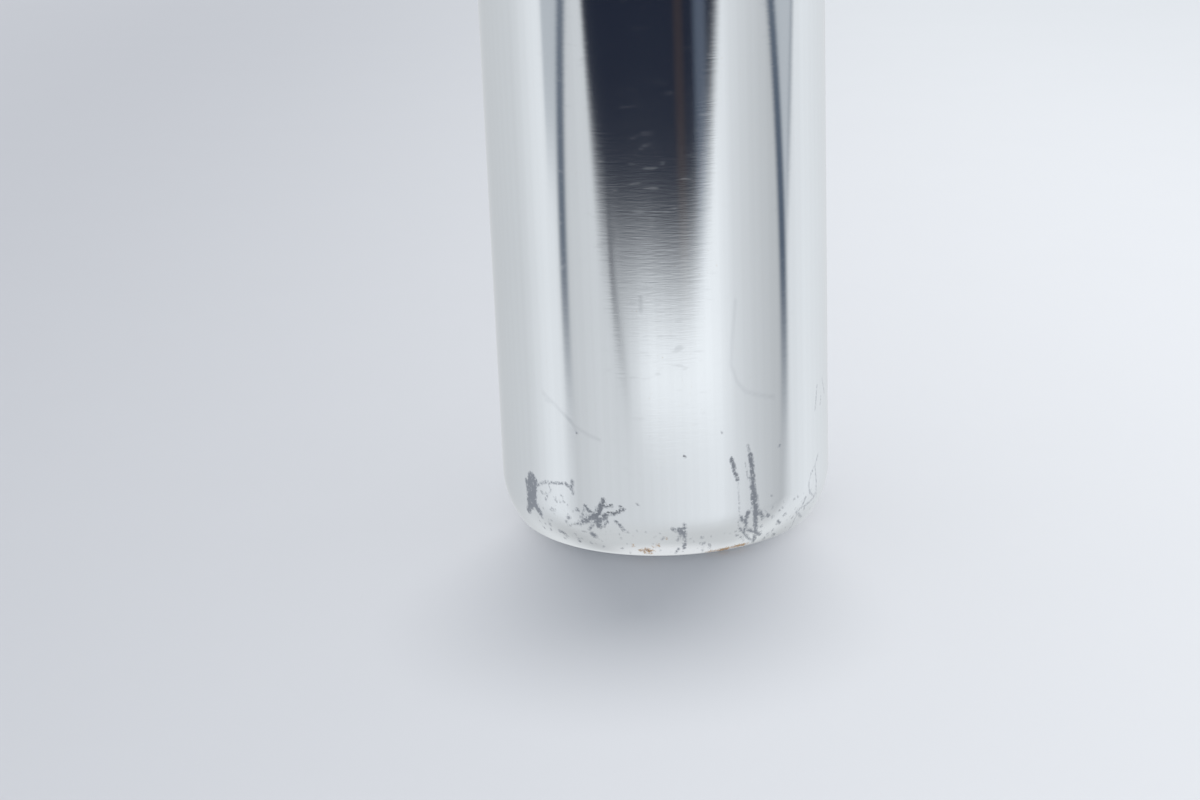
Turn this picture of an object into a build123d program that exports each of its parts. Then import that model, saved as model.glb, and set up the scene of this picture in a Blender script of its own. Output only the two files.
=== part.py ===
from build123d import *
from math import acos, asin, cos, degrees, hypot, radians, sin, sqrt
import os

# Bicycle seatpost with a single-bolt saddle clamp that rocks on the head.
# Millimetres. +Z runs up the shaft, +X is the riding direction, +Y the rider's left.
# The origin is on the shaft's axis, at the line down to which the shaft must be held.

# Shaft, a plain tube with a bull-nosed open lower end
post_diameter = 27.2
shaft_wall = 2.4
post_length = 250.0  # lower end to the saddle rails, along the shaft
insertion_depth = 70.0  # least length held in the bicycle frame
nose_radius = 6.5  # arc that turns the wall in at the lower end
nose_drop = 1.1  # how far that arc takes the wall in
rim_round = 0.5  # round between that arc and the flat end
bore_break = 0.3  # chamfer on the inner edge of each end

# Saddle rails and the clamp's place above the shaft
rail_diameter = 7.0
rail_spacing = 44.0
rail_clearance = 0.05
setback = 25.0  # rails' middle behind the shaft's axis
head_lean_angle = 17.0  # clamp's nose-down lean, which levels it on a 73 degree seat tube
tilt_up_angle = 10.0
tilt_down_angle = 15.0

# Head, forged, with a spigot bonded in the shaft and a curved seat for the clamp
head_diameter = 29.0
joint_drop = 48.0  # top of the shaft below the rails
spigot_length = 30.0
spigot_wall = 4.0
bond_gap = 0.05
core_height = 14.0  # hollow of the spigot, above the joint
pivot_rise = 14.0  # tilt centre above the rails
seat_radius = 28.0
shelf_thickness = 8.5
seat_front_angle = -30.0  # seat's ends, behind straight down from the tilt centre
seat_rear_angle = 54.0
seat_round = 1.0
shelf_corner = 6.0
neck_overlap = 1.5  # how far the neck runs up into the shelf
shoulder_drop = 19.0  # start of the rounded shoulder below the seat's front end
shoulder_lean_angle = 20.0
shoulder_round = 2.0
slot_clearance = 0.4
rock_gap = 0.15  # between the head and what rocks on it

# Clamp halves
clamp_gap = 1.6
cradle_length = 33.0
clamp_length = 30.0
cradle_width = 24.0  # part of the cradle that sits on the head
rail_wall = 3.6
web_step = 0.35  # web's face within the tops of the rail bosses
corner_round = 3.0  # inner corners of the clamp halves
end_round = 2.0  # edges of their ends
crown_end = 4.0  # upper clamp's height at its ends
crown_middle = 8.0
nut_boss_diameter = 20.0
nut_floor = 6.2
boss_round = 1.5
bolt_hole_clearance = 0.3

# M8 bolt, nut and washer
bolt_diameter = 8.0
thread_proud = 0.5  # bolt's end above the nut
bolt_head_diameter = 13.0
bolt_head_height = 8.0
bolt_key = 6.0
key_depth = 4.0
fastener_break = 0.8
nut_width = 13.0
nut_height = 6.5
nut_pocket_clearance = 0.1
thread_clearance = 0.05
washer_thickness = 3.35
washer_length = 14.0
washer_width = 17.0
washer_corner = 2.5

# Worked out from the sizes above
post_radius = post_diameter / 2
bore_radius = post_radius - shaft_wall
head_radius = head_diameter / 2
shaft_bottom = -insertion_depth
rail_height = post_length - insertion_depth
joint_height = rail_height - joint_drop
groove_radius = rail_diameter / 2 + rail_clearance
boss_radius = groove_radius + rail_wall
web_thickness = boss_radius - clamp_gap / 2 - web_step
tilt_x = -setback + pivot_rise * sin(radians(head_lean_angle))
tilt_z = rail_height + pivot_rise * cos(radians(head_lean_angle))
shelf_radius = seat_radius + shelf_thickness
lower_parting = -pivot_rise - clamp_gap / 2
upper_parting = -pivot_rise + clamp_gap / 2
nut_seat = upper_parting + nut_floor
bolt_hole_radius = bolt_diameter / 2 + bolt_hole_clearance
bearing_depth = shelf_radius + rock_gap + washer_thickness

# The clamp's pieces are drawn with the tilt centre at the origin and the bolt upright, then set in place
clamp_place = Location((tilt_x, 0, tilt_z), (0, head_lean_angle, 0))


def about_tilt(radius, angle):
    # Side-view point at a radius from the tilt centre, at an angle behind straight down
    turn = radians(angle)
    return (tilt_x - radius * sin(turn), tilt_z - radius * cos(turn))


def tilt_arc(radius, start, end):
    middle = about_tilt(radius, (start + end) / 2)
    return ThreePointArc(about_tilt(radius, start), middle, about_tilt(radius, end))


def side_slab(edges, width):
    # Closed side-view outline, thickened evenly to both sides
    return extrude(Plane.XZ * make_face(edges), width / 2, both=True)


def front_slab(face, length):
    # Front-view face, thickened evenly fore and aft
    return extrude(Plane.YZ * face, length / 2, both=True)


def upright_cylinder(radius, low, high):
    return Pos(0, 0, low) * Cylinder(radius, high - low, align=(Align.CENTER, Align.CENTER, Align.MIN))


def hex_prism(width, low, high):
    face = RegularPolygon(width / 2, 6, major_radius=False)
    return Pos(0, 0, low) * extrude(face, high - low)


def on_side_arc(edge, x, z, radius):
    # Whether an edge lies on a round surface that runs from side to side
    spots = [edge @ share for share in (0, 0.25, 0.5, 0.75, 1)]
    return all(abs(hypot(spot.X - x, spot.Z - z) - radius) < 0.02 for spot in spots)


def on_seat(edge):
    return on_side_arc(edge, tilt_x, tilt_z, seat_radius)


def make_shaft():
    sweep = acos(1 - nose_drop / nose_radius)
    inner_nose = nose_radius - rim_round
    nose_start = shaft_bottom + inner_nose * sin(sweep) + rim_round
    nose_end = (post_radius - nose_drop, nose_start - nose_radius * sin(sweep))
    rim_end = (post_radius - nose_radius + inner_nose * cos(sweep), shaft_bottom)
    nose = TangentArc((post_radius, nose_start), nose_end, tangent=(0, -1))
    rim = TangentArc(nose_end, rim_end, tangent=nose % 1)
    rest = Polyline(
        rim_end,
        (bore_radius + bore_break, shaft_bottom),
        (bore_radius, shaft_bottom + bore_break),
        (bore_radius, joint_height - bore_break),
        (bore_radius + bore_break, joint_height),
        (post_radius, joint_height),
        (post_radius, nose_start),
    )
    return revolve(Plane.XZ * make_face([nose, rim, *rest.edges()]), Axis.Z)


def make_head_front():
    # Front half of the neck and the shelf behind it, under one rounded shoulder
    axis_angle = degrees(asin(tilt_x / shelf_radius))
    tip = about_tilt(seat_radius, seat_front_angle)
    start = (head_radius, tip[1] - shoulder_drop)
    lean = radians(shoulder_lean_angle)
    shoulder = TangentArc(start, tip, tangent=(-sin(lean), cos(lean)))
    outline = [
        tilt_arc(seat_radius, seat_rear_angle, seat_front_angle),
        shoulder,
        Line(start, (head_radius, joint_height)),
        Line((head_radius, joint_height), (0, joint_height)),
        Line((0, joint_height), about_tilt(shelf_radius, axis_angle)),
        tilt_arc(shelf_radius, axis_angle, seat_rear_angle),
        Line(about_tilt(shelf_radius, seat_rear_angle), about_tilt(seat_radius, seat_rear_angle)),
    ]
    behind = Rectangle(2 * shelf_radius, head_diameter, align=(Align.MAX, Align.CENTER))
    plan = Circle(head_radius) + behind
    front = side_slab(outline, 2 * head_diameter)
    front &= Pos(0, 0, joint_height) * extrude(plan, tilt_z - joint_height)
    slanted = front.edges().filter_by(GeomType.LINE).filter_by(Axis.Y, reverse=True)
    slanted = slanted.filter_by(Axis.Z, reverse=True)
    front = fillet(slanted.sort_by(Axis.X)[:2], shelf_corner)
    middle = shoulder.arc_center
    edges = []
    for edge in front.edges():
        if on_side_arc(edge, middle.X, middle.Y, shoulder.radius) and not on_seat(edge):
            edges.append(edge)
    return fillet(edges, shoulder_round)


def make_bolt_slot():
    # Room for the bolt's shank over the whole tilt, with a round end at each limit
    half_width = bolt_diameter / 2 + slot_clearance
    reach = shelf_radius + shelf_thickness
    first = head_lean_angle - tilt_up_angle
    last = head_lean_angle + tilt_down_angle
    corners = [(tilt_x, tilt_z), about_tilt(reach, first), about_tilt(reach, last)]
    slot = side_slab(Polyline(*corners, close=True).edges(), 2 * half_width)
    for angle in (first, last):
        end = Location((tilt_x, 0, tilt_z), (0, angle, 0))
        slot += end * upright_cylinder(half_width, -reach, 0)
    return slot


def make_head():
    neck = upright_cylinder(head_radius, joint_height, tilt_z)
    neck -= Pos(head_radius, 0, tilt_z) * Box(head_diameter, 2 * head_diameter, 2 * post_length)
    under_shelf = Cylinder(shelf_radius - neck_overlap, 2 * head_diameter)
    neck -= Pos(tilt_x, 0, tilt_z) * Rot(90, 0, 0) * under_shelf
    head = make_head_front() + neck
    head = fillet([edge for edge in head.edges() if on_seat(edge)], seat_round)
    spigot_radius = bore_radius - bond_gap
    spigot_end = joint_height - spigot_length
    head += upright_cylinder(spigot_radius, spigot_end, joint_height)
    head -= upright_cylinder(spigot_radius - spigot_wall, spigot_end, joint_height + core_height)
    return head - make_bolt_slot()


def rail_grooves():
    grooves = Part()
    for side in (-1, 1):
        place = Pos(0, side * rail_spacing / 2, -pivot_rise) * Rot(0, 90, 0)
        grooves += place * Cylinder(groove_radius, 2 * cradle_length)
    return grooves


def rail_bosses():
    bosses = Sketch()
    for side in (-1, 1):
        bosses += Pos(side * rail_spacing / 2, -pivot_rise) * Circle(boss_radius)
    return bosses


def round_ends(half, length, parting):
    # Rounds the edges of both end faces, all but the one along the parting
    ends = []
    for edge in half.edges():
        middle = edge @ 0.5
        at_end = abs(abs(middle.X) - length / 2) < 0.01
        if at_end and abs(middle.Z - parting) > 0.1:
            ends.append(edge)
    return fillet(ends, end_round)


def make_lower_cradle():
    rock_radius = seat_radius - rock_gap
    half = cradle_length / 2
    low = -sqrt(rock_radius**2 - half**2)
    hang = (Align.CENTER, Align.MAX)
    face = rail_bosses()
    face += Pos(0, lower_parting) * Rectangle(rail_spacing, web_thickness, align=hang)
    face &= Pos(0, lower_parting) * Rectangle(2 * rail_spacing, 2 * boss_radius, align=hang)
    face = fillet([v for v in face.vertices() if v.Y < lower_parting - 0.1], corner_round)
    cradle = round_ends(front_slab(face, cradle_length), cradle_length, lower_parting)
    foot_top = lower_parting - end_round
    top = Polyline((-half, low), (-half, foot_top), (half, foot_top), (half, low))
    rocker = ThreePointArc((half, low), (0, -rock_radius), (-half, low))
    cradle += side_slab([*top.edges(), rocker], cradle_width)
    cradle -= rail_grooves()
    cradle -= upright_cylinder(bolt_hole_radius, -seat_radius, 0)
    return clamp_place * cradle


def make_upper_clamp():
    half = clamp_length / 2
    base = upper_parting
    ends = Polyline((-half, base + crown_end), (-half, base), (half, base), (half, base + crown_end))
    crown = ThreePointArc((half, base + crown_end), (0, base + crown_middle), (-half, base + crown_end))
    stand = (Align.CENTER, Align.MIN)
    face = rail_bosses()
    face += Pos(0, base) * Rectangle(rail_spacing, web_thickness, align=stand)
    face &= Pos(0, base) * Rectangle(2 * rail_spacing, 2 * boss_radius, align=stand)
    face = fillet([v for v in face.vertices() if v.Y > base + 0.1], corner_round)
    clamp = side_slab([*ends.edges(), crown], 2 * rail_spacing) & front_slab(face, clamp_length)
    clamp = round_ends(clamp, clamp_length, base)
    boss_radius_here = nut_boss_diameter / 2
    boss_top = nut_seat + nut_height
    clamp += upright_cylinder(boss_radius_here, base, boss_top)
    boss_foot = [
        edge
        for edge in clamp.edges()
        if all(abs(hypot((edge @ s).X, (edge @ s).Y) - boss_radius_here) < 0.02 for s in (0, 0.5, 1))
        and base + 0.5 < (edge @ 0.5).Z < boss_top - 0.5
    ]
    clamp = fillet(boss_foot, boss_round)
    clamp = fillet(clamp.edges().group_by(Axis.Z)[-1], boss_round)
    clamp -= rail_grooves()
    clamp -= hex_prism(nut_width + 2 * nut_pocket_clearance, nut_seat, boss_top)
    clamp -= upright_cylinder(bolt_hole_radius, base, boss_top)
    return clamp_place * clamp


def make_bolt():
    foot = -bearing_depth - bolt_head_height
    head = upright_cylinder(bolt_head_diameter / 2, foot, -bearing_depth)
    head = fillet(head.edges().group_by(Axis.Z)[0], fastener_break)
    shank = upright_cylinder(bolt_diameter / 2, -bearing_depth, nut_seat + nut_height + thread_proud)
    shank = chamfer(shank.edges().group_by(Axis.Z)[-1], fastener_break)
    return clamp_place * (head + shank - hex_prism(bolt_key, foot, foot + key_depth))


def make_washer():
    blank = RectangleRounded(washer_length, washer_width, washer_corner)
    washer = Pos(0, 0, -bearing_depth) * extrude(blank, 2 * washer_thickness)
    washer -= Rot(90, 0, 0) * Cylinder(shelf_radius + rock_gap, 2 * washer_width)
    washer -= upright_cylinder(bolt_hole_radius, -bearing_depth, 0)
    return clamp_place * washer


def make_nut():
    nut_top = nut_seat + nut_height
    blank = upright_cylinder(nut_width / sqrt(3), nut_seat, nut_top)
    blank = chamfer(blank.edges().group_by(Axis.Z)[-1], fastener_break)
    nut = hex_prism(nut_width, nut_seat, nut_top) & blank
    nut -= upright_cylinder(bolt_diameter / 2 + thread_clearance, nut_seat, nut_top)
    return clamp_place * nut


pieces = {
    "shaft": make_shaft(),
    "head": make_head(),
    "lower_cradle": make_lower_cradle(),
    "upper_clamp": make_upper_clamp(),
    "clamp_bolt": make_bolt(),
    "saddle_washer": make_washer(),
    "clamp_nut": make_nut(),
}
os.makedirs("parts", exist_ok=True)
for name, piece in pieces.items():
    export_step(piece, f"parts/{name}.step")
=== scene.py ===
import math
import bmesh
import bpy
import numpy as np
from mathutils import Matrix, Vector


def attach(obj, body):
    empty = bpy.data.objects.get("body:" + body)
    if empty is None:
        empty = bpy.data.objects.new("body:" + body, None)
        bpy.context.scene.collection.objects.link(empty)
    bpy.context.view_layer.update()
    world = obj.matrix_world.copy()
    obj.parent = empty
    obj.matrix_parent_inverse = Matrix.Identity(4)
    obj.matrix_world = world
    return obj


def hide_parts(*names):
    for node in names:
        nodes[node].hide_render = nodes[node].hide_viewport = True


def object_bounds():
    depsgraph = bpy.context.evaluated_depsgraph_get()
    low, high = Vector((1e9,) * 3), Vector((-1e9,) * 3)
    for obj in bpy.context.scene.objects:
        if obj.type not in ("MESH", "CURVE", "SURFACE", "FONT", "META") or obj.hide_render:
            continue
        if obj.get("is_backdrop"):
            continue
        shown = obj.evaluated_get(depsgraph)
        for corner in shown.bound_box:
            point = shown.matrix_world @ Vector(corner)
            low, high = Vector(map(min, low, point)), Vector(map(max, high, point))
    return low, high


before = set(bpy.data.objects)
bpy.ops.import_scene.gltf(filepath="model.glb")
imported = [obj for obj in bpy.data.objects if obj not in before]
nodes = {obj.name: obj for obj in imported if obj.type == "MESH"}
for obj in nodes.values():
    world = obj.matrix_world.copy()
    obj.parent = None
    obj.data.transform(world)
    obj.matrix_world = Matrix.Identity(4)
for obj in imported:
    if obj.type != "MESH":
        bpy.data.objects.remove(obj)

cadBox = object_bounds()
scene = bpy.context.scene
scene.view_settings.view_transform = "Standard"
print("frame loaded:", ", ".join(sorted(nodes)))


# node helpers: a value may be a number, a colour or another node's output

def plug(tree, socket, value):
    if isinstance(value, bpy.types.NodeSocket):
        tree.links.new(value, socket)
    else:
        socket.default_value = value


def calc(tree, operation, *values):
    node = tree.nodes.new("ShaderNodeMath")
    node.operation = operation
    for socket, value in zip(node.inputs, values):
        plug(tree, socket, value)
    return node.outputs[0]


def times(tree, *values):  # all of them multiplied
    product = values[0]
    for value in values[1:]:
        product = calc(tree, "MULTIPLY", product, value)
    return product


def sloped(tree, value, slope, start):  # value x slope + start
    return calc(tree, "MULTIPLY_ADD", value, slope, start)


def swell(tree, value, reach, power):  # 0 below 0, then value / reach to a power
    return calc(tree, "POWER", times(tree, calc(tree, "MAXIMUM", value, 0.0), 1 / reach), power)


def ease(tree, value, low, high, toLow=0.0, toHigh=1.0):  # smooth step from low to high
    node = tree.nodes.new("ShaderNodeMapRange")
    node.interpolation_type = "SMOOTHSTEP"
    for socket, setting in zip(node.inputs, (value, low, high, toLow, toHigh)):
        plug(tree, socket, setting)
    return node.outputs[0]


def softBand(tree, turn, middle, half, depth, solid=0.15):  # soft-edged band about a middle
    gap = calc(tree, "ABSOLUTE", calc(tree, "SUBTRACT", turn, middle))
    return times(tree, ease(tree, gap, half, half * solid), depth)


def blendColour(tree, factor, under, over, how="MIX"):
    node = tree.nodes.new("ShaderNodeMix")
    node.data_type = "RGBA"
    node.blend_type = how
    plug(tree, node.inputs["Factor"], factor)
    plug(tree, node.inputs[6], under)
    plug(tree, node.inputs[7], over)
    return node.outputs[2]


def ramp(tree, value, stops):  # stops: (place 0..1, grey)
    node = tree.nodes.new("ShaderNodeValToRGB")
    elements = node.color_ramp.elements
    while len(elements) < len(stops):
        elements.new(0.5)
    for element, (place, tone) in zip(elements, stops):
        element.position = place
        element.color = (tone, tone, tone, 1)
    plug(tree, node.inputs[0], value)
    return node.outputs[0]


def noise(tree, vector, detail, scale=1.0):
    node = tree.nodes.new("ShaderNodeTexNoise")
    node.inputs["Scale"].default_value = scale
    node.inputs["Detail"].default_value = detail
    plug(tree, node.inputs["Vector"], vector)
    return node.outputs["Fac"]


def stretch(tree, vector, factors, shift=(0.0, 0.0, 0.0)):
    node = tree.nodes.new("ShaderNodeMapping")
    node.inputs["Location"].default_value = shift
    node.inputs["Scale"].default_value = factors
    plug(tree, node.inputs["Vector"], vector)
    return node.outputs[0]


def objectCoords(tree):
    return tree.nodes.new("ShaderNodeTexCoord").outputs["Object"]


def splitVector(tree, vector):
    node = tree.nodes.new("ShaderNodeSeparateXYZ")
    plug(tree, node.inputs[0], vector)
    return node.outputs


def azimuthOf(tree, x, y):  # degrees, 0 towards the camera and positive to its right
    return calc(tree, "DEGREES", calc(tree, "ARCTAN2", x, times(tree, y, -1.0)))


def srgb(*levels):  # 0..255 screen levels to linear
    part = np.asarray(levels, float) / 255
    linear = np.where(part <= 0.04045, part / 12.92, ((part + 0.055) / 1.055) ** 2.4)
    return tuple(float(v) for v in linear) + (1.0,)


def darker(colour, share):
    return tuple(v * share for v in colour[:3]) + (1,)


def newFinish(name):
    material = bpy.data.materials.new(name)
    material.use_nodes = True
    tree = material.node_tree
    return material, tree, tree.nodes["Principled BSDF"]


# mesh helpers

def gridMesh(name, points, closedRows, closedColumns):
    # quads between neighbouring points of a (rows, columns, 3) array, joined end to end where closed
    rows, columns = points.shape[:2]
    index = np.arange(rows * columns).reshape(rows, columns)
    if closedRows:
        index = np.vstack([index, index[:1]])
    if closedColumns:
        index = np.hstack([index, index[:, :1]])
    corners = [index[:-1, :-1], index[:-1, 1:], index[1:, 1:], index[1:, :-1]]
    mesh = bpy.data.meshes.new(name)
    mesh.from_pydata(points.reshape(-1, 3), [], np.stack(corners, -1).reshape(-1, 4))
    mesh.update()
    return mesh


def joinPoints(mesh, gap=0.000004):  # points at one place become one, so seams and poles are closed
    work = bmesh.new()
    work.from_mesh(mesh)
    bmesh.ops.remove_doubles(work, verts=work.verts, dist=gap)
    work.to_mesh(mesh)
    work.free()


def addPiece(name, mesh, body, material, replaced, sharpAngle=32):
    piece = bpy.data.objects.new(name, mesh)
    scene.collection.objects.link(piece)
    mesh.shade_smooth()
    mesh.set_sharp_from_angle(angle=math.radians(sharpAngle))
    mesh.materials.clear()
    mesh.materials.append(material)
    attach(piece, body)
    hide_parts(replaced)
    return piece


def levelSheet(name, half, level, material):
    mesh = bpy.data.meshes.new(name)
    corners = [(x * half, y * half, level) for x, y in ((-1, -1), (1, -1), (1, 1), (-1, 1))]
    mesh.from_pydata(corners, [], [(0, 1, 2, 3)])
    mesh.materials.append(material)
    sheet = bpy.data.objects.new(name, mesh)
    scene.collection.objects.link(sheet)
    return sheet


def seenOnlyBy(thing, kept):  # hidden from every kind of ray but one
    for ray in ("camera", "diffuse", "glossy", "transmission", "volume_scatter", "shadow"):
        setattr(thing, "visible_" + ray, ray == kept)


# camera: the photograph's viewing angle, along +Y and a little down

view = {
    "focalPixels": 2200.0, "imageWidth": 1200, "sensor": 36.0, "pitch": 17.65, "roll": -2.29,
    "endFromCamera": (5.616, 8.623, 185.8),  # mm right, down and ahead of the camera
    "endHeight": -0.070, "clipStart": 0.01,
}


def placeCamera():
    pitch, roll = math.radians(view["pitch"]), math.radians(view["roll"])
    up = np.array([math.sin(roll) * math.cos(pitch), -math.cos(roll) * math.cos(pitch), -math.sin(pitch)])
    ahead = np.array([0, 0, 1.0]) - up[2] * up  # level part of the line of sight
    ahead /= np.linalg.norm(ahead)
    turn = np.stack([np.cross(ahead, up), ahead, up])  # camera axes (right, down, forward) to the object's
    place = np.array([0, 0, view["endHeight"]]) - turn @ np.array(view["endFromCamera"]) / 1000
    data = bpy.data.cameras.new("photoView")
    data.sensor_fit = "HORIZONTAL"
    data.sensor_width = view["sensor"]
    data.lens = view["focalPixels"] * view["sensor"] / view["imageWidth"]
    data.clip_start = view["clipStart"]
    camera = bpy.data.objects.new("photoView", data)
    scene.collection.objects.link(camera)
    columns = np.eye(4)
    columns[:3, :4] = np.column_stack([turn[:, 0], -turn[:, 1], -turn[:, 2], place])
    camera.matrix_world = Matrix(columns.tolist())
    scene.camera = camera


placeCamera()
print("camera placed")


# studio surroundings by direction, in degrees of azimuth and of height above the level; two or four numbers
# are the start and end of a soft change, and its levels there where they are not 0 and 1

studio = {
    "backdrop": srgb(222, 226, 231), "ambient": (0.60, 0.62, 0.643, 1),
    "dark": srgb(34, 40, 55), "line": srgb(84, 96, 112), "wedge": srgb(190, 196, 202),
}
pale = {
    # azimuth, grey level
    "tones": (
        (-180, 217), (-151, 208), (-108, 217), (-86, 240), (-77, 239), (-65, 211), (-47, 221), (-18, 224),
        (36, 243), (49, 229), (63, 215), (85, 198), (97, 233), (115, 241), (180, 217),
    ),
    "tint": (0.962, 1.0, 1.033, 1), "stripeTurns": (0.83, 1.97), "stripeDepth": 0.009, "stripeLevel": 0.99,
    "tableTone": (1.02, 1.06, 1.09, 1), "tableLeft": (-28.0, -6.0), "tableRight": (52.0, 24.0),
    "tableHeight": (-19.4, -17.2),
    "underHeight": (-22.0, -52.0), "underTint": (0.955, 0.985, 1.0, 1), "underLevel": 0.69,
    "bandTurns": math.radians(3.0), "bandShift": 1.2, "bandDepth": (70.0, 110.0, 0.02, 0.16),
    "nadirHeight": (-62.0, -78.0), "nadirTone": (0.86, 0.875, 0.89, 1),
}


def paleWalls(tree, azimuth, height):
    # a little different all the way round
    tones = [(turn / 360 + 0.5, srgb(level, level, level)[0]) for turn, level in pale["tones"]]
    walls = ramp(tree, sloped(tree, azimuth, 1 / 360, 0.5), tones)
    walls = blendColour(tree, 1.0, walls, pale["tint"], "MULTIPLY")
    # bright table close in front
    close = times(tree, ease(tree, azimuth, *pale["tableLeft"]), ease(tree, azimuth, *pale["tableRight"]))
    close = times(tree, close, ease(tree, height, *pale["tableHeight"]))
    walls = blendColour(tree, close, walls, pale["tableTone"])
    # faint stripes, only a few levels apart
    stripes = [calc(tree, "COSINE", times(tree, azimuth, turn)) for turn in pale["stripeTurns"]]
    stripes = sloped(tree, calc(tree, "ADD", *stripes), pale["stripeDepth"], pale["stripeLevel"])
    walls = blendColour(tree, 1.0, walls, stripes, "MULTIPLY")
    # darker paper below, in soft bands to the sides, and paler again straight down
    bands = calc(tree, "COSINE", sloped(tree, azimuth, pale["bandTurns"], pale["bandShift"]))
    depth = ease(tree, calc(tree, "ABSOLUTE", azimuth), *pale["bandDepth"])
    bands = sloped(tree, bands, depth, pale["underLevel"])
    bands = blendColour(tree, 1.0, bands, pale["underTint"], "MULTIPLY")
    walls = blendColour(tree, ease(tree, height, *pale["underHeight"]), walls, bands)
    return blendColour(tree, ease(tree, height, *pale["nadirHeight"]), walls, pale["nadirTone"])


# thin dark uprights: the outer two are bowed about a height, the second on the right leans
sides = {
    "second": {"foot": 113.1, "lean": 1.35, "half": 3.2, "fade": (-15.0, -10.0, 0.0, 0.4)},
    "left": {
        "foot": -69.2, "bend": 6.0, "about": -15.2, "reach": 7.6, "half": 5.0,
        "fade": (-19.2, -13.2, 0.0, 0.92),
    },
    "right": {
        "foot": 90.5, "bend": -8.0, "about": -15.5, "reach": 7.9, "half": 5.6,
        "fade": (-20.4, -13.6, 0.06, 1.0),
    },
    "leftWedge": (-81.0, -77.0), "leftWedgeHeight": (-12.8, -9.5), "rightWedgeHeight": (-15.0, -12.0),
}


def bowed(tree, height, side):  # foot + bend x ((height - about) / reach) squared
    away = sloped(tree, height, 1 / side["reach"], -side["about"] / side["reach"])
    return sloped(tree, times(tree, away, away), side["bend"], side["foot"])


def past(tree, one, other):  # soft edge, a degree either way, where one goes past the other
    return ease(tree, calc(tree, "SUBTRACT", one, other), -1.0, 1.0)


def addSideLines(tree, azimuth, height, walls):
    second = sloped(tree, height, sides["second"]["lean"], sides["second"]["foot"])
    left, right = (bowed(tree, height, sides[side]) for side in ("left", "right"))
    # a grey wedge beside the upper part of each outer line
    wedge = times(tree, ease(tree, azimuth, *sides["leftWedge"]), past(tree, left, azimuth))
    wedge = times(tree, wedge, ease(tree, height, *sides["leftWedgeHeight"]))
    walls = blendColour(tree, wedge, walls, studio["wedge"])
    wedge = times(tree, past(tree, azimuth, right), past(tree, second, azimuth))
    wedge = times(tree, wedge, ease(tree, height, *sides["rightWedgeHeight"]))
    walls = blendColour(tree, wedge, walls, studio["wedge"])
    for side, middle in (("second", second), ("left", left), ("right", right)):
        dark = softBand(tree, azimuth, middle, sides[side]["half"], ease(tree, height, *sides[side]["fade"]))
        walls = blendColour(tree, dark, walls, studio["line"])
    return walls


# dark room beyond the table's near edge: where it starts, how it rises to either side, and what stands in it
room = {
    "middle": -4.0, "start": -14.6, "soft": 2.3, "top": (34.0, 14.0), "tilt": -0.017, "tiltFrom": -32.0,
    "tiltTo": 14.0, "rightRise": 6.3, "rightReach": 43.5, "leftRise": 5.5, "leftReach": 43.0,
    "tailFoot": -34.5, "tailSweep": 15.0, "tailBelow": -13.5, "tailReach": 5.5, "tailHalf": 4.0,
    "tailFade": (-18.5, -14.0, 0.0, 0.75), "tailTop": (-8.0, -12.0),
    # azimuth, half, share, tone
    "strips": ((15.0, 5.0, 0.42, srgb(74, 62, 58)), (29.0, 7.0, 0.5, srgb(112, 124, 142))),
}


def darkRoom(tree, azimuth, height):
    # lower limit = start + rise x (azimuth from the middle / reach) to the 4th power on the right and the 8th
    # on the left, tilted a little near the middle
    off = calc(tree, "SUBTRACT", azimuth, room["middle"])
    limit = sloped(tree, swell(tree, off, room["rightReach"], power=4.0), room["rightRise"], room["start"])
    leftOff = swell(tree, times(tree, off, -1.0), room["leftReach"], power=8.0)
    limit = sloped(tree, leftOff, room["leftRise"], limit)
    near = calc(tree, "MINIMUM", calc(tree, "MAXIMUM", azimuth, room["tiltFrom"]), room["tiltTo"])
    limit = sloped(tree, near, room["tilt"], limit)
    mask = ease(tree, calc(tree, "SUBTRACT", height, limit), -room["soft"], room["soft"])
    # a tail that runs down from its left corner and sweeps inwards
    below = swell(tree, sloped(tree, height, -1.0, room["tailBelow"]), room["tailReach"], power=1.5)
    middle = sloped(tree, below, room["tailSweep"], room["tailFoot"])
    tail = softBand(tree, azimuth, middle, room["tailHalf"], ease(tree, height, *room["tailFade"]))
    mask = calc(tree, "MAXIMUM", mask, times(tree, tail, ease(tree, height, *room["tailTop"])))
    mask = times(tree, mask, ease(tree, height, *room["top"]))
    inside = studio["dark"]
    for middle, half, share, tone in room["strips"]:
        inside = blendColour(tree, softBand(tree, azimuth, middle, half, share), inside, tone)
    return mask, inside


# above the level: a pale ceiling with soft boxes, dark panels between the walls, and a dark band behind
upper = {
    "ceiling": (0.0, 60.0, 0.34, 0.66), "tint": (0.96, 0.98, 1.0, 1), "starts": (-1.0, 14.0),
    # soft boxes: azimuth, half, from and to height, level
    "boxes": (
        (28.0, 52.0, 22.0, 74.0, 0.75), (-142.0, 44.0, 18.0, 58.0, 0.6), (118.0, 24.0, 30.0, 66.0, 0.4),
    ),
    "boxEdges": (12.0, -16.0),
    # dark panels: azimuth, half
    "panels": ((92.0, 26.0), (-135.0, 24.0), (160.0, 16.0), (-75.0, 14.0)),
    "panelFoot": (-6.0, -3.0), "panelTop": (38.0, 20.0),
    "behind": 180.0, "behindHalf": 19.0, "behindFade": (-7.0, -5.0, 0.0, 0.8),
}


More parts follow.
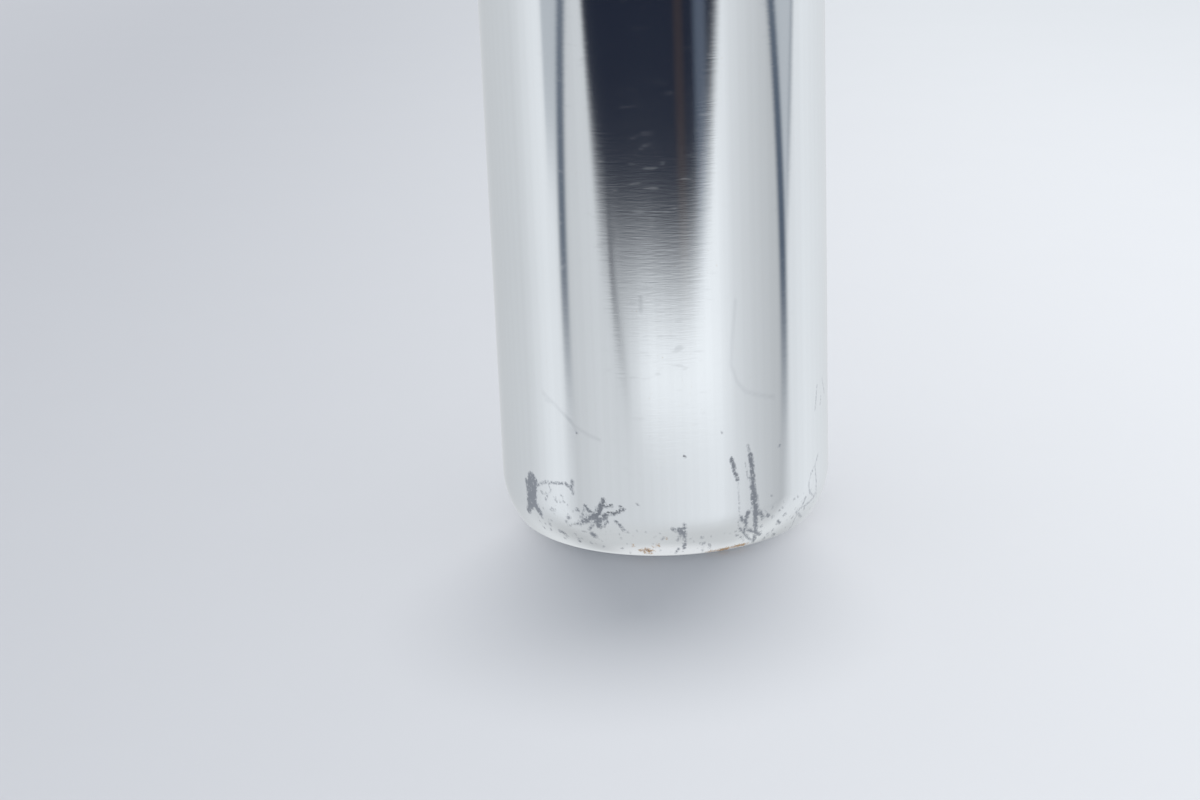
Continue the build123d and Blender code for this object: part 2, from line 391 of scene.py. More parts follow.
def addUpper(tree, azimuth, height, walls, mask):
    # soft dark band behind, near the level
    eitherWay = calc(tree, "ABSOLUTE", azimuth)
    depth = ease(tree, height, *upper["behindFade"])
    band = softBand(tree, eitherWay, upper["behind"], upper["behindHalf"], depth)
    walls = blendColour(tree, band, walls, studio["dark"])
    # pale ceiling with soft boxes under it, and dark panels between the walls
    ceiling = ease(tree, height, *upper["ceiling"])
    edgeUp, edgeDown = upper["boxEdges"]
    for middle, half, bottom, top, level in upper["boxes"]:
        box = softBand(tree, azimuth, middle, half, ease(tree, height, bottom, bottom + edgeUp))
        box = times(tree, box, ease(tree, height, top, top + edgeDown))
        ceiling = sloped(tree, box, level, ceiling)
    sky = blendColour(tree, 1.0, ceiling, upper["tint"], "MULTIPLY")
    depth = times(tree, ease(tree, height, *upper["panelFoot"]), ease(tree, height, *upper["panelTop"]))
    for middle, half in upper["panels"]:
        walls = blendColour(tree, softBand(tree, azimuth, middle, half, depth), walls, studio["dark"])
    over = times(tree, ease(tree, height, *upper["starts"]), calc(tree, "SUBTRACT", 1.0, mask))
    return blendColour(tree, over, walls, sky)


def buildStudio():
    world = bpy.data.worlds.new("studio")
    scene.world = world
    world.use_nodes = True
    tree = world.node_tree
    tree.nodes.clear()
    x, y, z = splitVector(tree, tree.nodes.new("ShaderNodeTexCoord").outputs["Generated"])
    azimuth = azimuthOf(tree, x, y)
    height = calc(tree, "DEGREES", calc(tree, "ARCSINE", z))
    walls = addSideLines(tree, azimuth, height, paleWalls(tree, azimuth, height))
    mask, inside = darkRoom(tree, azimuth, height)
    surround = addUpper(tree, azimuth, height, blendColour(tree, mask, walls, inside), mask)
    # metal shows these surroundings, the floor gets an even light and the camera a plain backdrop
    path = tree.nodes.new("ShaderNodeLightPath").outputs
    mirrored = times(tree, path["Is Glossy Ray"], calc(tree, "LESS_THAN", path["Diffuse Depth"], 0.5))
    shown = blendColour(tree, mirrored, studio["ambient"], surround)
    shown = blendColour(tree, path["Is Camera Ray"], shown, studio["backdrop"])
    background = tree.nodes.new("ShaderNodeBackground")
    plug(tree, background.inputs["Color"], shown)
    tree.links.new(background.outputs[0], tree.nodes.new("ShaderNodeOutputWorld").inputs[0])


buildStudio()
print("studio built")


# floor: pale paper, just under the tube's end, with a pool of light painted into its colour on the right

paper = {
    "half": 30.0, "level": -0.0701, "roughness": 0.9, "specular": 0.2, "fleck": 0.012, "fleckScale": 90.0,
    # the left, right and far right tones are painted light: a pool of light from the right painted into the
    # paper's colour
    "left": srgb(194, 197, 204), "right": srgb(236, 239, 244), "across": (-0.105, 0.08),
    "paintedLightFarRight": srgb(224, 228, 233), "back": (0.02, 0.35), "far": srgb(217, 220, 225), "fade": (0.25, 1.1),
}


def buildFloor():
    # painted light: paler from left to right close by, a painted pool of light from the right that fades
    # towards the back, and farther off a tone that the light brings to the backdrop's
    material, tree, surface = newFinish("palePaperPaintedLight")
    surface.inputs["Roughness"].default_value = paper["roughness"]
    surface.inputs["Specular IOR Level"].default_value = paper["specular"]
    coords = objectCoords(tree)
    x, y = splitVector(tree, coords)[:2]
    away = tree.nodes.new("ShaderNodeVectorMath")
    away.operation = "LENGTH"
    plug(tree, away.inputs[0], coords)
    # painted light: the paper is made paler to the right, less so towards the back, in place of light from a
    # lamp
    right = blendColour(tree, ease(tree, y, *paper["back"]), paper["right"], paper["paintedLightFarRight"])
    tone = blendColour(tree, ease(tree, x, *paper["across"]), paper["left"], right)
    tone = blendColour(tree, ease(tree, away.outputs["Value"], *paper["fade"]), tone, paper["far"])
    grain = noise(tree, coords, detail=3.0, scale=paper["fleckScale"])
    grain = sloped(tree, grain, paper["fleck"], 1 - paper["fleck"])
    plug(tree, surface.inputs["Base Color"], blendColour(tree, 1.0, tone, grain, "MULTIPLY"))
    floor = levelSheet("paperFloor", paper["half"], paper["level"], material)
    floor.visible_glossy = False  # the metal reflects the studio round it
    floor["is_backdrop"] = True


# the dark room's share that the upper tube reflects in views from above: a level card round the tube,
# seen only in reflections

frontCard = {
    "half": 1.2, "level": -0.015, "near": 0.03, "rise": 0.28, "fade": 0.05, "middle": -4.0, "reach": 43.5,
    # feet of the side lines: azimuth, half; and of the band behind, by azimuth either way
    "feet": ((-69.0, 5.0), (90.0, 5.6)), "behind": (180.0, 17.0), "feetFade": (0.03, 0.12, 0.0, 0.75),
    "end": (1.1, 0.7),
}


def buildFrontCard():
    # near edge = near + rise x (azimuth from the middle / reach) to the 4th power
    material, tree = newFinish("darkCard")[:2]
    tree.nodes.clear()
    x, y = splitVector(tree, objectCoords(tree))[:2]
    azimuth = azimuthOf(tree, x, y)
    away = calc(tree, "SQRT", calc(tree, "ADD", times(tree, x, x), times(tree, y, y)))
    off = calc(tree, "ABSOLUTE", calc(tree, "SUBTRACT", azimuth, frontCard["middle"]))
    near = sloped(tree, swell(tree, off, frontCard["reach"], power=4.0), frontCard["rise"], frontCard["near"])
    mask = ease(tree, calc(tree, "SUBTRACT", away, near), 0.0, frontCard["fade"])
    depth = ease(tree, away, *frontCard["feetFade"])
    feet = [softBand(tree, azimuth, *foot, depth) for foot in frontCard["feet"]]
    feet.append(softBand(tree, calc(tree, "ABSOLUTE", azimuth), *frontCard["behind"], depth))
    for foot in feet:
        mask = calc(tree, "MAXIMUM", mask, foot)
    mask = times(tree, mask, ease(tree, away, *frontCard["end"]))
    glow = tree.nodes.new("ShaderNodeEmission")
    glow.inputs["Color"].default_value = studio["dark"]
    blend = tree.nodes.new("ShaderNodeMixShader")
    plug(tree, blend.inputs[0], mask)
    tree.links.new(tree.nodes.new("ShaderNodeBsdfTransparent").outputs[0], blend.inputs[1])
    tree.links.new(glow.outputs[0], blend.inputs[2])
    tree.links.new(blend.outputs[0], tree.nodes.new("ShaderNodeOutputMaterial").inputs[0])
    card = levelSheet("frontCard", frontCard["half"], frontCard["level"], material)
    seenOnlyBy(card, "glossy")
    card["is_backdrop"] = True


# the lamp stands so far to the right and back for 1 of height
overheadLamp = {"right": 0.016, "back": 0.12, "spread": 6.0, "strength": 1.38, "colour": (1.03, 1.0, 0.96)}


def addOverhead():
    data = bpy.data.lights.new("overheadLamp", "SUN")
    data.energy = overheadLamp["strength"]
    data.angle = math.radians(overheadLamp["spread"])
    data.color = overheadLamp["colour"]
    place = Vector((overheadLamp["right"], overheadLamp["back"], 1.0))
    lamp = bpy.data.objects.new("overheadLamp", data)
    lamp.location = place
    lamp.rotation_euler = (-place).to_track_quat("-Z", "Y").to_euler()
    lamp.visible_glossy = False
    scene.collection.objects.link(lamp)
    return lamp


buildFloor()
buildFrontCard()
overhead = addOverhead()
print("floor, card and lamp placed")


# finishes

lineScales = {
    "fine": (800.0, 800.0, 7500.0), "middle": (420.0, 420.0, 2600.0), "middleShift": (3.1, 0.0, 7.7),
    "cloud": (60.0, 60.0, 60.0), "cloudShift": (1.3, 2.2, 0.4),
}


def fineLinesGroup():
    # height of fine turning or brushing lines: noise squeezed along one axis of the coordinates, in two
    # sizes; and a cloud for slow changes of tone
    group = bpy.data.node_groups.new("fineLines", "ShaderNodeTree")
    group.interface.new_socket("Vector", in_out="INPUT", socket_type="NodeSocketVector")
    group.interface.new_socket("Coarse", in_out="INPUT", socket_type="NodeSocketFloat")
    group.interface.new_socket("Height", in_out="OUTPUT", socket_type="NodeSocketFloat")
    group.interface.new_socket("Cloud", in_out="OUTPUT", socket_type="NodeSocketFloat")
    source = group.nodes.new("NodeGroupInput")
    sink = group.nodes.new("NodeGroupOutput")
    vector = source.outputs["Vector"]
    fine = noise(group, stretch(group, vector, lineScales["fine"]), detail=2.0)
    middle = noise(group, stretch(group, vector, lineScales["middle"], lineScales["middleShift"]), detail=2.0)
    cloud = noise(group, stretch(group, vector, lineScales["cloud"], lineScales["cloudShift"]), detail=3.0)
    group.links.new(sloped(group, middle, source.outputs["Coarse"], fine), sink.inputs["Height"])
    group.links.new(cloud, sink.inputs["Cloud"])
    return group


fineLines = fineLinesGroup()


def useFineLines(tree, coords, coarse=0.0):
    node = tree.nodes.new("ShaderNodeGroup")
    node.node_tree = fineLines
    plug(tree, node.inputs["Vector"], coords)
    plug(tree, node.inputs["Coarse"], coarse)
    return node.outputs["Height"], node.outputs["Cloud"]


def bump(tree, height, distance, strength=1.0):
    node = tree.nodes.new("ShaderNodeBump")
    node.inputs["Strength"].default_value = strength
    node.inputs["Distance"].default_value = distance
    plug(tree, node.inputs["Height"], height)
    return node


def attribute(tree, name):
    node = tree.nodes.new("ShaderNodeAttribute")
    node.attribute_name = name
    return node.outputs["Fac"]


# shaft, in mm: a tube turned from its wall's outline, dense where the knocks at its lower end are

shaft = {
    "radius": 13.6, "bore": 11.2, "bottom": -70.0, "top": 132.0,
    "noseRadius": 6.5, "noseDrop": 1.1, "rimRound": 0.5, "breakEdge": 0.3,
    # rows down the outside, closer below each level above the lower end; then round the nose and up the bore
    "rowLevels": (50, 24, 12), "rowCounts": (38, 27, 49, 62), "noseRows": 32, "rimRows": 8,
    "boreRows": 12, "boreEnds": 6.0,
    "frontHalf": 86, "frontColumns": 320, "backColumns": 54,  # degrees either way of the camera's side
    "marksBelow": 30, "marksOutside": 0.6,
}
# knocks and scratches by place, each a stroke: (width mm, (degrees round the tube, mm above its end), ...)
scuffs = {
    "left block": [
        (1.0, (-54, 5.5), (-55, 4.6), (-55.5, 3.2)), (0.75, (-52.5, 5.4), (-53.5, 3.4)),
        (0.6, (-55, 3.4), (-58, 2.4)), (0.55, (-54, 3.6), (-50.5, 2.7)), (0.2, (-51.5, 2.8), (-50, 2.3)),
        (0.3, (-57.5, 5.1), (-56.5, 4.1)),
    ],
    "thread beside it": [
        (0.2, (-51.5, 5.0), (-46.5, 5.6), (-37.5, 5.9), (-35, 5.6)),
        (0.24, (-34.5, 6.2), (-35, 5.6), (-34.5, 5.2)), (0.12, (-45.5, 5.6), (-44, 5.1), (-45, 4.7)),
    ],
    "left dots": [
        (0.2, (-46.5, 4.6), (-46, 4.4)), (0.16, (-42, 4.3), (-41.5, 4.2)), (0.16, (-44, 3.5), (-43, 3.4)),
        (0.14, (-39.5, 4.8), (-39, 4.7)), (0.18, (-47, 2.0), (-46.5, 1.8)),
        (0.25, (-42.5, 1.5), (-40.5, 1.4)),
    ],
    "fork": [
        (0.4, (-23, 5.0), (-25, 3.9), (-27.5, 3.3)), (0.4, (-25, 3.9), (-31, 2.9)),
        (0.5, (-26, 3.6), (-25, 2.8)), (0.25, (-30, 4.3), (-27, 3.6)), (0.22, (-29, 2.3), (-26, 3.2)),
        (0.3, (-24.5, 3.4), (-21.5, 3.9)), (0.2, (-28.5, 3.1), (-33.5, 2.6)),
        (0.2, (-22.5, 3.5), (-22, 3.2), (-23.5, 2.8), (-24.5, 3.1), (-22.5, 3.5)),
        (0.24, (-20, 3.9), (-18, 4.1), (-16, 4.4)), (0.22, (-19, 3.3), (-17.5, 3.0), (-16.5, 2.6)),
        (0.14, (-37.5, 2.3), (-33, 2.8), (-30.5, 3.8), (-30, 4.4)), (0.45, (-28, 1.9), (-27.5, 1.8)),
        (0.2, (-22, 4.5), (-20, 4.6)), (0.16, (-29.5, 3.6), (-32, 3.3)),
    ],
    "middle nick": [
        (0.5, (2.5, 2.6), (3, 2.4)), (0.26, (4, 3.1), (4, 2.0), (4, 0.9)), (0.2, (2, 0.8), (1, 0.4)),
        (0.25, (1, 2.6), (0, 2.8)), (0.2, (3, 2.3), (1.5, 1.7)),
    ],
    "long drag": [
        (0.18, (26.5, 9.0), (27.5, 8.1)), (0.4, (27.5, 8.1), (28, 7.3), (28.5, 5.2)),
        (0.42, (28.5, 5.2), (29.5, 2.6)), (0.34, (29.5, 2.6), (31, 0.5)), (0.2, (27.5, 5.6), (28, 3.6)),
        (0.16, (30, 4.6), (30.5, 2.9)), (0.34, (26.5, 3.4), (25.5, 2.8)),
        (0.26, (23.5, 3.1), (26, 2.4), (25.5, 1.7)), (0.28, (31, 3.2), (32.5, 2.6)),
        (0.25, (27, 1.8), (33, 1.0)), (0.2, (23.5, 2.1), (29, 0.7)),
        (0.28, (20.5, 8.1), (21.5, 7.1), (22.5, 6.3)), (0.1, (22.5, 6.3), (23, 4.2), (23, 2.3)),
        (0.1, (25.5, 7.6), (26.5, 6.1)),
    ],
    "right rim": [
        (0.15, (64, 5.9), (61, 5.1), (62.5, 2.9), (62, 2.3)), (0.15, (62, 2.3), (57, 2.1), (51.5, 2.1)),
        (0.15, (51.5, 2.1), (50.5, 1.3), (50.5, 0.3)), (0.14, (58, 4.7), (56, 3.8), (57, 3.1)),
        (0.16, (60, 5.0), (58, 4.7)), (0.16, (57, 3.1), (62, 2.3)), (0.2, (54.5, 2.9), (53, 2.4)),
        (0.18, (49.5, 1.9), (55.5, 1.0)), (0.3, (34.5, 2.7), (35, 2.6)), (0.25, (40, 0.5), (41, 0.4)),
        (0.2, (40, 1.8), (41.5, 1.5)), (0.2, (42.5, 2.1), (43.5, 2.2)), (0.16, (63.5, 11.7), (61.5, 9.8)),
        (0.14, (69, 11.9), (72, 10.5)), (0.14, (67.5, 10.5), (66.5, 9.9)),
    ],
}
hairlines = [
    (0.12, (23, 20.8), (21.5, 17.7), (21, 15.7), (23, 14.3), (26, 13.4), (32, 12.8), (37.5, 12.4)),
    (0.12, (-45.5, 13.1), (-40, 12.3), (-33, 10.9), (-27.5, 10.3), (-23.5, 10.0)),
    (0.12, (-44.5, 12.6), (-41, 12.5)), (0.12, (-33, 10.9), (-32, 10.4)),
    (0.1, (-8, 21.4), (-8, 20.4)), (0.1, (-16.5, 26.4), (-16, 26.0)),
]
rustSpots = [
    (0.2, (-12, 0.7), (-10, 0.6)), (0.3, (-9.5, 0.8), (-8, 0.6)), (0.16, (-10, 0.4), (-7.5, 0.4)),
    (0.14, (-7.5, 0.9), (-6.5, 0.7)), (0.2, (-5, 1.3), (-5, 1.2)), (0.16, (-2, 2.0), (-2, 1.9)),
    (0.18, (-14, 1.2), (-14, 1.1)), (0.14, (-7, 1.1), (-6.5, 1.0)),
    (0.2, (12.5, 0.2), (18.5, 0.2), (23.5, 0.3), (28.5, 0.3)), (0.3, (17.5, 0.2), (20.5, 0.2)),
    (0.25, (22.5, 0.3), (27, 0.3)),
]
# small marks strewn near the end, more of them beside the larger scuffs: number, degrees, mm above the end
specks = {
    "seed": 7, "size": (0.01, 0.2), "drift": (3, 0.6),  # drift in degrees and mm for 1 mm of size
    "fields": (
        (90, (-53, -22), (0.8, 4.8)), (50, (-28, 22), (0.4, 2.6)),
        (100, (22, 66), (0.2, 3.4)), (14, (-40, 40), (4, 11)),
    ),
}
strokeEdge = {"soft": 0.2, "faintest": 0.45, "perWidth": 2.0}


def strewSpecks():
    pick = np.random.default_rng(specks["seed"])
    drift = np.array(specks["drift"])
    strokes = []
    for count, turnRange, heightRange in specks["fields"]:
        size = pick.uniform(*specks["size"], count)
        start = np.stack([pick.uniform(*turnRange, count), pick.uniform(*heightRange, count)], -1)
        end = start + size[:, None] * pick.uniform(-drift, drift, (count, 2))
        strokes += zip(size, start, end)
    return strokes


def strokeMask(strokes, around, height):
    # highest on a stroke's line and falling to 0 past its half width, from the distance to each straight
    # stretch in mm round and up the tube; thin strokes are fainter
    soft = strokeEdge["soft"]
    perDegree = math.radians(1) * shaft["radius"]
    mask = np.zeros(around.shape)
    for width, *path in strokes:
        depth = min(1.0, strokeEdge["faintest"] + strokeEdge["perWidth"] * width)
        track = np.array(path, float) * (perDegree, 1.0)
        for start, end in zip(track[:-1], track[1:]):
            run = end - start
            right, up = around - start[0], height - start[1]
            reach = np.clip((right * run[0] + up * run[1]) / (run @ run), 0, 1)
            gap = np.hypot(right - reach * run[0], up - reach * run[1])
            mask = np.maximum(mask, np.clip((width / 2 + soft - gap) / (2 * soft), 0, 1) * depth)
    return mask


def arcPoints(middle, radius, turns):  # middle + (radius cos t, -radius sin t)
    return np.column_stack([middle[0] + radius * np.cos(turns), middle[1] - radius * np.sin(turns)])


def shaftProfile():
    # (radius, height) round the wall: down the outside, round nose and rim, across the end, up the bore
    bore, bottom, top, edge = (shaft[key] for key in ("bore", "bottom", "top", "breakEdge"))
    small = shaft["noseRadius"] - shaft["rimRound"]
    sweep = math.acos(1 - shaft["noseDrop"] / shaft["noseRadius"])
    noseTop = bottom + small * math.sin(sweep) + shaft["rimRound"]
    stops = [top, *(bottom + level for level in shaft["rowLevels"]), noseTop]
    spans = [np.linspace(*span) for span in zip(stops, stops[1:], shaft["rowCounts"])]
    outside = np.concatenate([*(span[:-1] for span in spans[:-1]), spans[-1]])
    wall = np.column_stack([np.full(outside.size, shaft["radius"]), outside])
    middle = np.array([shaft["radius"] - shaft["noseRadius"], noseTop])
    nose = arcPoints(middle, shaft["noseRadius"], np.linspace(0, sweep, shaft["noseRows"])[1:])
    middle = middle + small * np.array([math.cos(sweep), -math.sin(sweep)])
    rim = arcPoints(middle, shaft["rimRound"], np.linspace(sweep, math.pi / 2, shaft["rimRows"])[1:])
    levels = np.linspace(bottom + shaft["boreEnds"], top - shaft["boreEnds"], shaft["boreRows"])
    inside = [(bore + edge, bottom), (bore, bottom + edge), *((bore, level) for level in levels)]
    inside += [(bore, top - edge), (bore + edge, top)]
    return np.vstack([wall, nose, rim, inside])


def buildShaft():
    # point = (radius sin a, -radius cos a, height), a round the tube from the side that faces the camera
    profile = shaftProfile() / 1000
    side = shaft["frontHalf"]
    front = np.radians(np.linspace(-side, side, shaft["frontColumns"]))
    back = np.radians(np.linspace(side, 360 - side, shaft["backColumns"]))[1:-1]
    turn = np.concatenate([front, back])
    radius, height = profile[:, :1], profile[:, 1:]
    shape = (profile.shape[0], turn.size)
    points = np.stack([radius * np.sin(turn), -radius * np.cos(turn), np.broadcast_to(height, shape)], -1)
    mesh = gridMesh("shaft", points, True, True)
    around = np.broadcast_to(turn * shaft["radius"], shape).ravel()
    above = np.broadcast_to(height * 1000 - shaft["bottom"], shape).ravel()
    outer = np.broadcast_to(radius * 1000 > shaft["bore"] + shaft["marksOutside"], shape).ravel()
    marks = {"scuff": sum(scuffs.values(), strewSpecks()), "hairline": hairlines, "rust": rustSpots}
    for name, strokes in marks.items():
        values = np.where(outer & (above < shaft["marksBelow"]), strokeMask(strokes, around, above), 0)
        mesh.attributes.new(name, "FLOAT", "POINT").data.foreach_set("value", values.astype(np.float32))
    return mesh


polish = {
    "metal": srgb(238, 240, 242), "cloudShade": 0.95, "cloud": (0.3, 0.75, 0.0, 0.35), "coarse": 0.8,
    "roughness": 0.08, "anisotropic": 0.4, "turnedRound": 0.25, "lineDepth": 0.0000008,
    "grit": (5200.0,) * 3, "nicks": (700.0, 700.0, 2400.0), "nicksShift": (0.7, 5.1, 2.9),
    "nicksRough": (0.62, 0.78, 0.0, 0.035),
    "scuffMetal": srgb(174, 178, 186), "scuffShade": 0.75, "scuffRough": 0.40, "scuffEdge": (0.15, 0.85),
    "scuffGrit": (2.6, -0.3), "scuffBump": 0.35, "scuffDepth": 0.00003, "hairShare": 0.3,
    "rustOrange": srgb(234, 184, 106), "rustBrown": srgb(180, 120, 62), "rustMix": (0.35, 0.65),
    "rustGrit": (1.2, -0.6), "rustEdge": (0.2, 0.9, 0.0, 0.85), "rustRough": 0.75,
    "chips": (1900.0, 1900.0, 1200.0), "chipsShift": (4.2, 0.9, 1.6), "chipsEdge": (0.57, 0.63),
    "chipsBehind": (0.003, 0.009), "chipsBelow": (-0.0648, -0.0685),
}


def scuffShare(tree, coords, grit):
    scuff = times(tree, attribute(tree, "scuff"), sloped(tree, grit, *polish["scuffGrit"]))
    scuff = ease(tree, scuff, *polish["scuffEdge"])
    # behind, out of the photo's sight, the rim is chipped too: noise over a threshold, near the end only
    y, z = splitVector(tree, coords)[1:]
    chips = noise(tree, stretch(tree, coords, polish["chips"], polish["chipsShift"]), detail=3.0)
    chips = times(tree, ease(tree, chips, *polish["chipsEdge"]), ease(tree, y, *polish["chipsBehind"]))
    return calc(tree, "MAXIMUM", scuff, times(tree, chips, ease(tree, z, *polish["chipsBelow"])))


def polishedAluminium():
    material, tree, surface = newFinish("polishedAluminium")
    coords = objectCoords(tree)
    lines, cloud = useFineLines(tree, coords, polish["coarse"])
    grit = noise(tree, stretch(tree, coords, polish["grit"]), detail=2.0)
    hair = times(tree, attribute(tree, "hairline"), polish["hairShare"])
    marks = calc(tree, "MAXIMUM", scuffShare(tree, coords, grit), hair)
    rust = calc(tree, "ADD", attribute(tree, "rust"), sloped(tree, grit, *polish["rustGrit"]))
    rust = ease(tree, rust, *polish["rustEdge"])
    # faintly clouded metal, greyer where it is knocked, and stained by rust
    clouded = darker(polish["metal"], polish["cloudShade"])
    metal = blendColour(tree, ease(tree, cloud, *polish["cloud"]), polish["metal"], clouded)
    worn = blendColour(tree, grit, darker(polish["scuffMetal"], polish["scuffShade"]), polish["scuffMetal"])
    mottle = ease(tree, grit, *polish["rustMix"])
    stain = blendColour(tree, mottle, polish["rustBrown"], polish["rustOrange"])
    colour = blendColour(tree, rust, blendColour(tree, marks, metal, worn), stain)
    plug(tree, surface.inputs["Base Color"], colour)
    plug(tree, surface.inputs["Metallic"], calc(tree, "SUBTRACT", 1.0, rust))
    rough = sloped(tree, marks, polish["scuffRough"] - polish["roughness"], polish["roughness"])
    nicks = noise(tree, stretch(tree, coords, polish["nicks"], polish["nicksShift"]), detail=1.0)
    rough = calc(tree, "ADD", rough, ease(tree, nicks, *polish["nicksRough"]))
    rough = calc(tree, "MAXIMUM", rough, times(tree, rust, polish["rustRough"]))
    plug(tree, surface.inputs["Roughness"], rough)
    surface.inputs["Anisotropic"].default_value = polish["anisotropic"]
    surface.inputs["Anisotropic Rotation"].default_value = polish["turnedRound"]
    tangent = tree.nodes.new("ShaderNodeTangent")
    tangent.direction_type = "RADIAL"
    tangent.axis = "Z"
    tree.links.new(tangent.outputs[0], surface.inputs["Tangent"])
    turned = bump(tree, lines, polish["lineDepth"])
    knocked = bump(tree, times(tree, marks, -1.0), polish["scuffDepth"], polish["scuffBump"])
    tree.links.new(turned.outputs[0], knocked.inputs["Normal"])
    tree.links.new(knocked.outputs[0], surface.inputs["Normal"])
    return material


polished = polishedAluminium()
shaftPiece = addPiece("polishedShaft", buildShaft(), "post", polished, "shaft")

# the photo's shadow is narrower than the tube: a slim upright in the bore, which nothing else sees, casts it
core = {"radius": 0.0095, "bottom": -0.07, "top": 0.132, "sides": 48}


def buildShadowCore():
    # point = (radius sin a, radius cos a, height), at two heights
    turn = np.linspace(0, 2 * math.pi, core["sides"], endpoint=False)
    x, y = core["radius"] * np.sin(turn), core["radius"] * np.cos(turn)
    points = np.stack([np.column_stack([x, y, np.full(turn.size, core[end])]) for end in ("top", "bottom")])
    upright = bpy.data.objects.new("shadowCore", gridMesh("shadowCore", points, False, True))
    scene.collection.objects.link(upright)
    seenOnlyBy(upright, "shadow")
    upright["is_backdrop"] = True
    casters = bpy.data.collections.new("overheadCasters")
    casters.objects.link(upright)
    overhead.light_linking.blocker_collection = casters


buildShadowCore()
print("shaft built:", len(shaftPiece.data.polygons), "faces")


# head, cradle and clamp: the CAD shapes with their points joined, smooth between sharp edges

satin = {
    "grainScale": (2600.0,) * 3, "cloudShade": 0.88, "cloudRough": 0.12,
    "forgedAluminium": {"colour": srgb(228, 231, 234), "roughness": 0.19, "grain": 0.0000016},
    "clampAluminium": {"colour": srgb(208, 211, 215), "roughness": 0.29, "grain": 0.0000022},
    "platedSteel": {"colour": srgb(190, 192, 194), "roughness": 0.17, "grain": 0.0000008},
}


def joinedCopy(name, node):
    mesh = nodes[node].data.copy()
    mesh.name = name
    joinPoints(mesh)
    if "custom_normal" in mesh.attributes:
        mesh.attributes.remove(mesh.attributes["custom_normal"])
    return mesh


def satinMetal(name):
    # bead-like satin: fine grain in the height, faint clouds in colour and gloss
    material, tree, surface = newFinish(name)
    look = satin[name]
    coords = objectCoords(tree)
    cloud = useFineLines(tree, coords)[1]
    grain = noise(tree, stretch(tree, coords, satin["grainScale"]), detail=3.0)
    tone = blendColour(tree, cloud, darker(look["colour"], satin["cloudShade"]), look["colour"])
    plug(tree, surface.inputs["Base Color"], tone)
    surface.inputs["Metallic"].default_value = 1.0
    smoothest = look["roughness"] - satin["cloudRough"] / 2
    plug(tree, surface.inputs["Roughness"], sloped(tree, cloud, satin["cloudRough"], smoothest))
    plug(tree, surface.inputs["Normal"], bump(tree, grain, look["grain"]).outputs[0])
    return material


forgedAluminium = satinMetal("forgedAluminium")
clampAluminium = satinMetal("clampAluminium")
platedSteel = satinMetal("platedSteel")
for name, node, body, material, slotName in (
    ("forgedHead", "head", "post", forgedAluminium, "forged_aluminium"),
    ("railCradle", "lower_cradle", "clamp", clampAluminium, "clamp_aluminium"),
    ("railClamp", "upper_clamp", "clamp", clampAluminium, "clamp_aluminium"),
    ("hollowWasher", "saddle_washer", "clamp", platedSteel, "plated_steel"),
    ("clampNut", "clamp_nut", "clamp", platedSteel, "plated_steel"),
):
    addPiece(name, joinedCopy(name, node), body, material, node)
print("head and clamp dressed")


# clamp bolt, in mm: a socket cap screw, knurled round its head, drawn upright about the tilt centre and
# leaned back with the clamp

bolt = {
    "place": (-20.907, 0.0, 193.388), "lean": 17.0, "columns": 240,
    "shank": 4.0, "end": 0.0, "endBreak": 0.8, "bearing": -40.0,
    "headRadius": 6.5, "foot": -48.0, "headRound": 0.8, "headBreak": 0.3, "sideRows": 24, "roundRows": 7,
    "ridges": 40, "ridgeDepth": 0.22, "ridgeEnds": (0.5, 0.6), "ridgeRunOut": 0.5,
    "key": 6.0, "keyDepth": 4.0, "sinkRadius": 3.85, "sinkDepth": 0.35, "sharpAngle": 40,
}


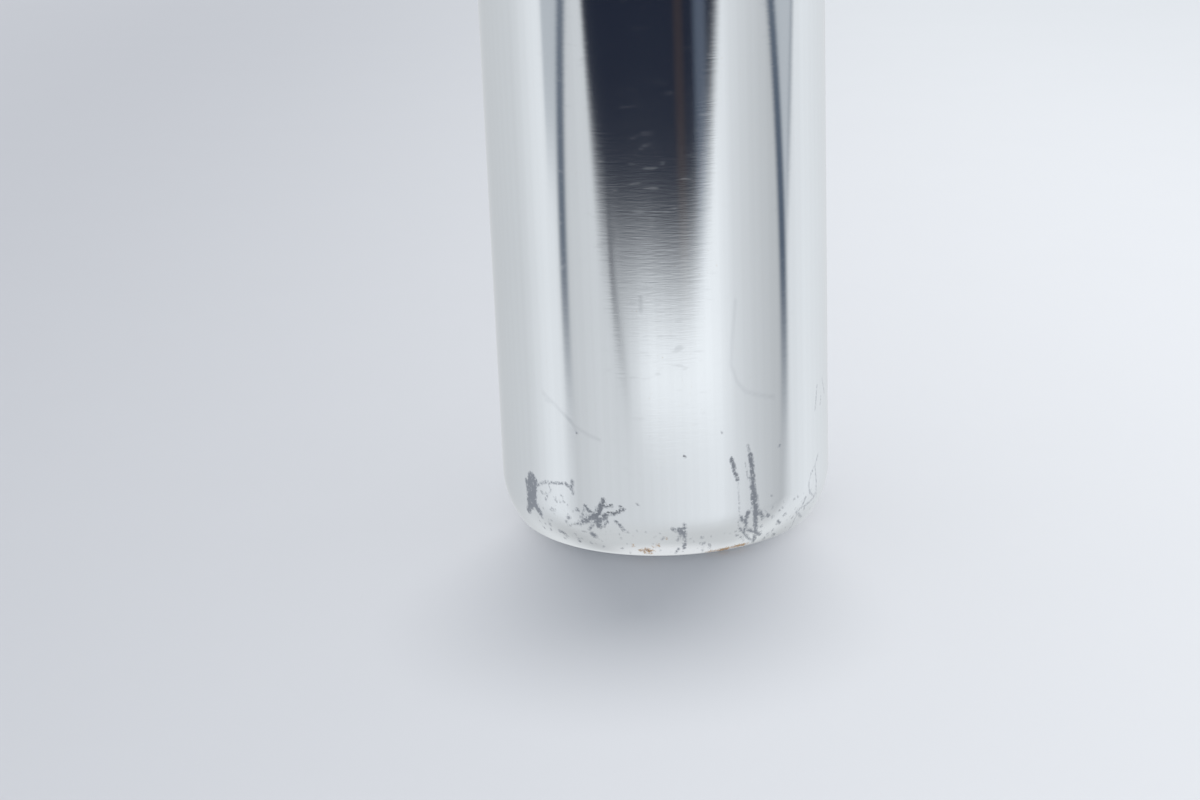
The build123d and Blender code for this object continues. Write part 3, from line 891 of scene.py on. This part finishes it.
def boltOutline(side):
    # (radius, height) from the shank's end, round the head, to the edge of the socket's countersink
    shank, end, endBreak, bearing = (bolt[key] for key in ("shank", "end", "endBreak", "bearing"))
    head, foot, curve = bolt["headRadius"], bolt["foot"], bolt["headRound"]
    quarter = np.linspace(0, math.pi / 2, bolt["roundRows"])[1:]
    corner = arcPoints((head - curve, foot + curve), curve, quarter)
    outline = [(0.0, end), (shank - endBreak, end), (shank, end - endBreak), (shank, bearing)]
    outline += [(head - bolt["headBreak"], bearing), *((head, level) for level in side), *corner]
    return np.array([*outline, (bolt["sinkRadius"], foot)])


def buildBolt():
    # point = (radius sin a, -radius cos a, height) along the half outline and on to the socket's floor; the
    # head's side is cut in by a cosine of the angle, and the socket's radius is its half width over the
    # cosine of the angle from the middle of a flat
    turn = np.linspace(0, 2 * math.pi, bolt["columns"], endpoint=False)
    flat = (bolt["key"] / 2) / np.cos((turn + math.pi / 6) % (math.pi / 3) - math.pi / 6)
    sideTop, sideFoot = bolt["bearing"] - bolt["headBreak"], bolt["foot"] + bolt["headRound"]
    radius, height = boltOutline(np.linspace(sideTop, sideFoot, bolt["sideRows"])).T
    topGap, footGap = bolt["ridgeEnds"]
    within = np.minimum(sideTop - topGap - height, height - sideFoot - footGap)
    ridged = np.clip(within / bolt["ridgeRunOut"], 0, 1) * (radius >= bolt["headRadius"])
    wave = 0.5 + 0.5 * np.cos(bolt["ridges"] * turn)
    radius = radius[:, None] - ridged[:, None] * bolt["ridgeDepth"] * wave
    # the socket's rows: share of its width, height
    floor = bolt["foot"] + bolt["keyDepth"]
    socket = [(1.0, bolt["foot"] + bolt["sinkDepth"]), (1.0, floor), (0.0, floor)]
    radius = np.vstack([radius, *(share * flat for share, level in socket)])
    height = np.append(height, [level for share, level in socket])
    height = np.repeat(height[:, None], turn.size, 1)
    local = np.stack([radius * np.sin(turn), -radius * np.cos(turn), height], -1)
    cosine, sine = math.cos(math.radians(bolt["lean"])), math.sin(math.radians(bolt["lean"]))
    turned = local @ np.array([[cosine, 0, -sine], [0, 1, 0], [sine, 0, cosine]])
    mesh = gridMesh("clampBolt", (turned + bolt["place"]) / 1000, False, True)
    joinPoints(mesh)
    return mesh


addPiece("clampBolt", buildBolt(), "clamp", platedSteel, "clamp_bolt", bolt["sharpAngle"])
print("bolt built")

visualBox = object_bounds()
for name, box in (("CAD", cadBox), ("visual", visualBox)):
    print(name, "box:", [[round(v, 4) for v in corner] for corner in box])
